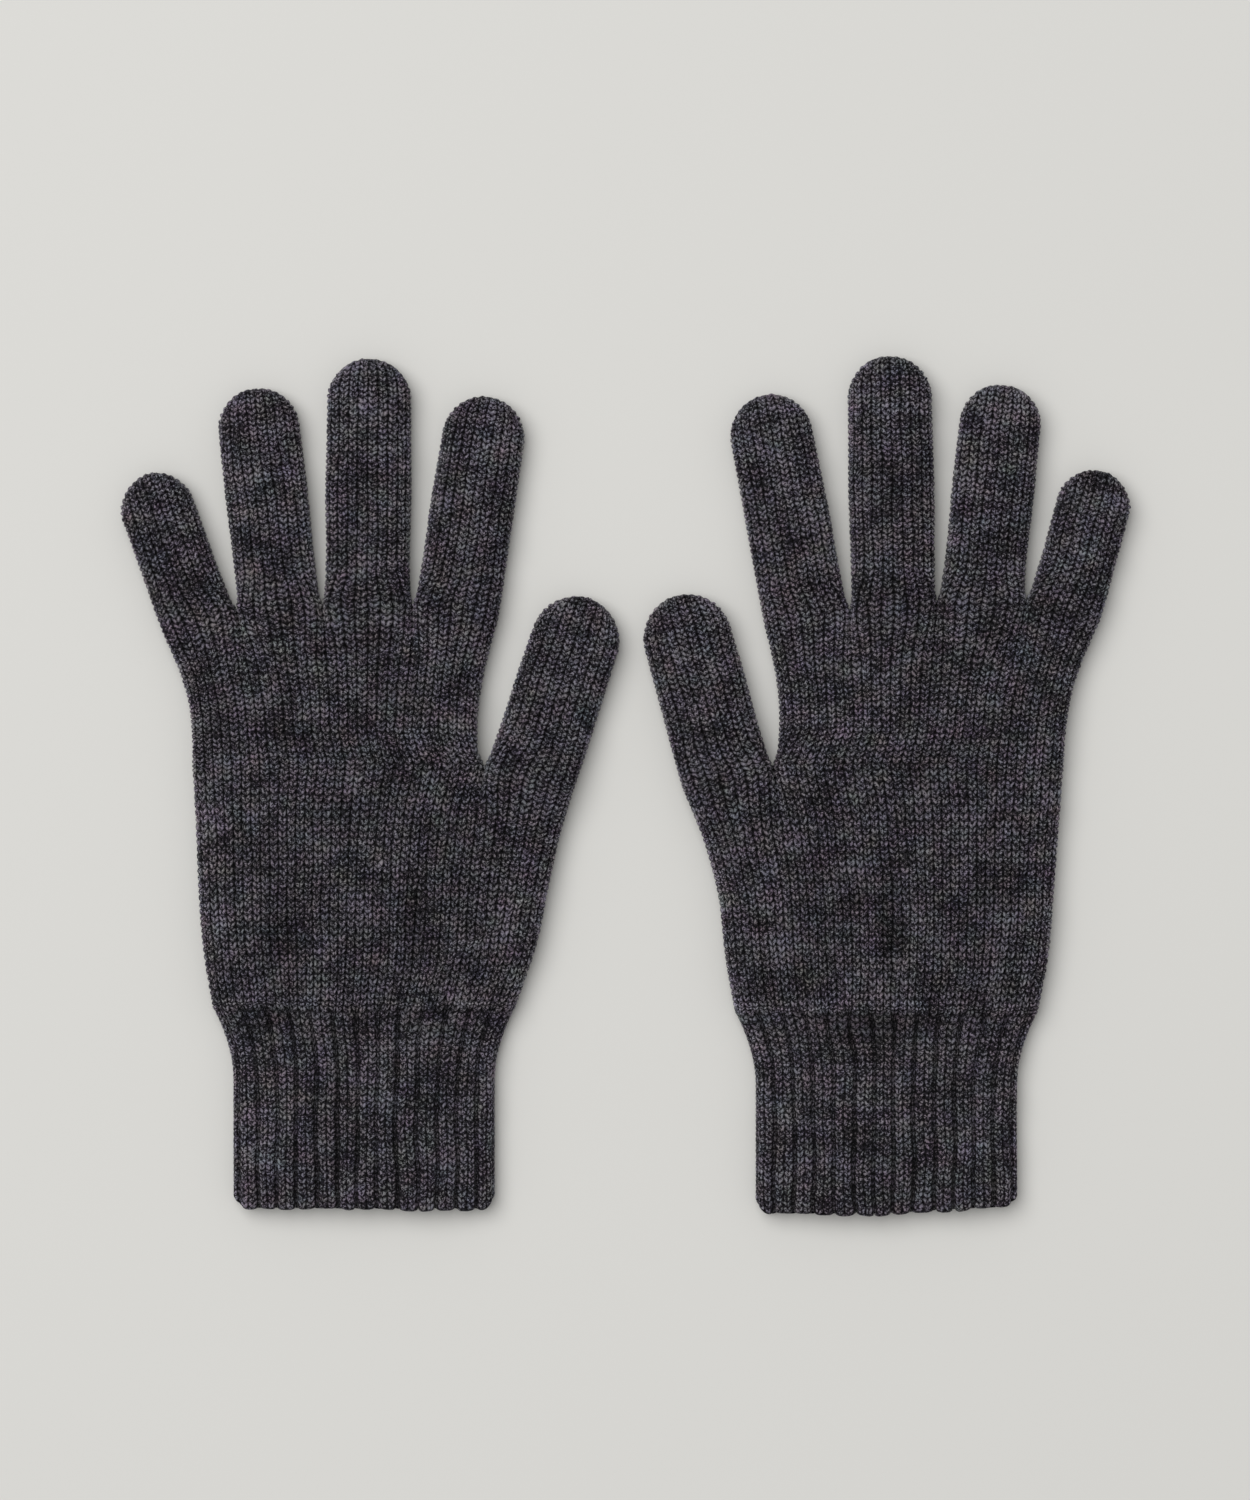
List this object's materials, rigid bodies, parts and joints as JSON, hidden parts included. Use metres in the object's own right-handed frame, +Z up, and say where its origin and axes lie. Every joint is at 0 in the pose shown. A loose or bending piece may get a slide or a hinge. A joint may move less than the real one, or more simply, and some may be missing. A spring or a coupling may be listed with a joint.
{
  "type": "pair of knitted gloves",
  "caption": "Pair of plain stockinette-knit five-finger gloves with ribbed cuffs, lying flat and empty; fingers, thumbs and wrists fold.",
  "frame": {"origin": "middle of the pair on the surface it lies on", "axes": "+X from the left glove to the right glove, +Y from the cuffs to the fingertips, +Z up"},
  "size_m": [0.3119, 0.2655, 0.012],
  "materials": {
    "plain_knit": "matte charcoal wool blend",
    "rib_knit": "matte charcoal wool blend"
  },
  "bodies": {
    "left_cuff": {"left_cuff_edge": "rib_knit", "left_cuff": "rib_knit"},
    "left_hand": {"left_lower_hand": "plain_knit", "left_upper_hand": "plain_knit"},
    "left_thumb_base": {"left_thumb_base": "plain_knit"},
    "left_thumb_tip": {"left_thumb_tip": "plain_knit"},
    "left_index_base": {"left_index_base": "plain_knit"},
    "left_index_tip": {"left_index_tip": "plain_knit"},
    "left_middle_base": {"left_middle_base": "plain_knit"},
    "left_middle_tip": {"left_middle_tip": "plain_knit"},
    "left_ring_base": {"left_ring_base": "plain_knit"},
    "left_ring_tip": {"left_ring_tip": "plain_knit"},
    "left_little_base": {"left_little_base": "plain_knit"},
    "left_little_tip": {"left_little_tip": "plain_knit"},
    "right_cuff": {"right_cuff_edge": "rib_knit", "right_cuff": "rib_knit"},
    "right_hand": {"right_lower_hand": "plain_knit", "right_upper_hand": "plain_knit"},
    "right_thumb_base": {"right_thumb_base": "plain_knit"},
    "right_thumb_tip": {"right_thumb_tip": "plain_knit"},
    "right_index_base": {"right_index_base": "plain_knit"},
    "right_index_tip": {"right_index_tip": "plain_knit"},
    "right_middle_base": {"right_middle_base": "plain_knit"},
    "right_middle_tip": {"right_middle_tip": "plain_knit"},
    "right_ring_base": {"right_ring_base": "plain_knit"},
    "right_ring_tip": {"right_ring_tip": "plain_knit"},
    "right_little_base": {"right_little_base": "plain_knit"},
    "right_little_tip": {"right_little_tip": "plain_knit"}
  },
  "joints": [
    {"name": "gloves_apart", "type": "slide", "parent": "left_cuff", "child": "right_cuff", "axis": [1, 0, 0], "range_m": [0, 0.12]},
    {"name": "left_wrist_fold", "type": "hinge", "parent": "left_cuff", "child": "left_hand", "pos_m": [-0.08075, -0.06825, 0.01], "axis": [1, 0, 0], "range_deg": [0, 80]},
    {"name": "left_thumb_root_fold", "type": "hinge", "parent": "left_hand", "child": "left_thumb_base", "pos_m": [-0.02616, 0.01294, 0.01], "axis": [0.9483, -0.3173, 0], "range_deg": [0, 90]},
    {"name": "left_thumb_middle_fold", "type": "hinge", "parent": "left_thumb_base", "child": "left_thumb_tip", "pos_m": [-0.01923, 0.03364, 0.01], "axis": [0.9483, -0.3173, 0], "range_deg": [0, 90]},
    {"name": "left_index_root_fold", "type": "hinge", "parent": "left_hand", "child": "left_index_base", "pos_m": [-0.05032, 0.06717, 0.01], "axis": [0.9877, -0.1564, 0], "range_deg": [0, 90]},
    {"name": "left_index_middle_fold", "type": "hinge", "parent": "left_index_base", "child": "left_index_tip", "pos_m": [-0.04644, 0.09166, 0.01], "axis": [0.9877, -0.1564, 0], "range_deg": [0, 90]},
    {"name": "left_middle_root_fold", "type": "hinge", "parent": "left_hand", "child": "left_middle_base", "pos_m": [-0.07962, 0.07125, 0.01], "axis": [1, -0.0087, 0], "range_deg": [0, 90]},
    {"name": "left_middle_middle_fold", "type": "hinge", "parent": "left_middle_base", "child": "left_middle_tip", "pos_m": [-0.07937, 0.09937, 0.01], "axis": [1, -0.0087, 0], "range_deg": [0, 90]},
    {"name": "left_ring_root_fold", "type": "hinge", "parent": "left_hand", "child": "left_ring_base", "pos_m": [-0.10854, 0.06881, 0.01], "axis": [0.9936, 0.1132, 0], "range_deg": [0, 90]},
    {"name": "left_ring_middle_fold", "type": "hinge", "parent": "left_ring_base", "child": "left_ring_tip", "pos_m": [-0.11139, 0.09381, 0.01], "axis": [0.9936, 0.1132, 0], "range_deg": [0, 90]},
    {"name": "left_little_root_fold", "type": "hinge", "parent": "left_hand", "child": "left_little_base", "pos_m": [-0.13489, 0.05943, 0.01], "axis": [0.9367, 0.3502, 0], "range_deg": [0, 90]},
    {"name": "left_little_middle_fold", "type": "hinge", "parent": "left_little_base", "child": "left_little_tip", "pos_m": [-0.14117, 0.07624, 0.01], "axis": [0.9367, 0.3502, 0], "range_deg": [0, 90]},
    {"name": "right_wrist_fold", "type": "hinge", "parent": "right_cuff", "child": "right_hand", "pos_m": [0.0807, -0.06975, 0.01], "axis": [1, 0, 0], "range_deg": [0, 80]},
    {"name": "right_thumb_root_fold", "type": "hinge", "parent": "right_hand", "child": "right_thumb_base", "pos_m": [0.02844, 0.0136, 0.01], "axis": [0.9613, 0.2756, 0], "range_deg": [0, 90]},
    {"name": "right_thumb_middle_fold", "type": "hinge", "parent": "right_thumb_base", "child": "right_thumb_tip", "pos_m": [0.02247, 0.03441, 0.01], "axis": [0.9613, 0.2756, 0], "range_deg": [0, 90]},
    {"name": "right_index_root_fold", "type": "hinge", "parent": "right_hand", "child": "right_index_base", "pos_m": [0.05348, 0.06572, 0.01], "axis": [0.9816, 0.1908, 0], "range_deg": [0, 90]},
    {"name": "right_index_middle_fold", "type": "hinge", "parent": "right_index_base", "child": "right_index_tip", "pos_m": [0.04854, 0.09114, 0.01], "axis": [0.9816, 0.1908, 0], "range_deg": [0, 90]},
    {"name": "right_middle_root_fold", "type": "hinge", "parent": "right_hand", "child": "right_middle_base", "pos_m": [0.08263, 0.0712, 0.01], "axis": [0.9998, 0.0175, 0], "range_deg": [0, 90]},
    {"name": "right_middle_middle_fold", "type": "hinge", "parent": "right_middle_base", "child": "right_middle_tip", "pos_m": [0.08213, 0.09968, 0.01], "axis": [0.9998, 0.0175, 0], "range_deg": [0, 90]},
    {"name": "right_ring_root_fold", "type": "hinge", "parent": "right_hand", "child": "right_ring_base", "pos_m": [0.11155, 0.07063, 0.01], "axis": [0.9945, -0.1045, 0], "range_deg": [0, 90]},
    {"name": "right_ring_middle_fold", "type": "hinge", "parent": "right_ring_base", "child": "right_ring_tip", "pos_m": [0.11414, 0.09528, 0.01], "axis": [0.9945, -0.1045, 0], "range_deg": [0, 90]},
    {"name": "right_little_root_fold", "type": "hinge", "parent": "right_hand", "child": "right_little_base", "pos_m": [0.13789, 0.0628, 0.01], "axis": [0.9613, -0.2756, 0], "range_deg": [0, 90]},
    {"name": "right_little_middle_fold", "type": "hinge", "parent": "right_little_base", "child": "right_little_tip", "pos_m": [0.14243, 0.07863, 0.01], "axis": [0.9613, -0.2756, 0], "range_deg": [0, 90]}
  ]
}
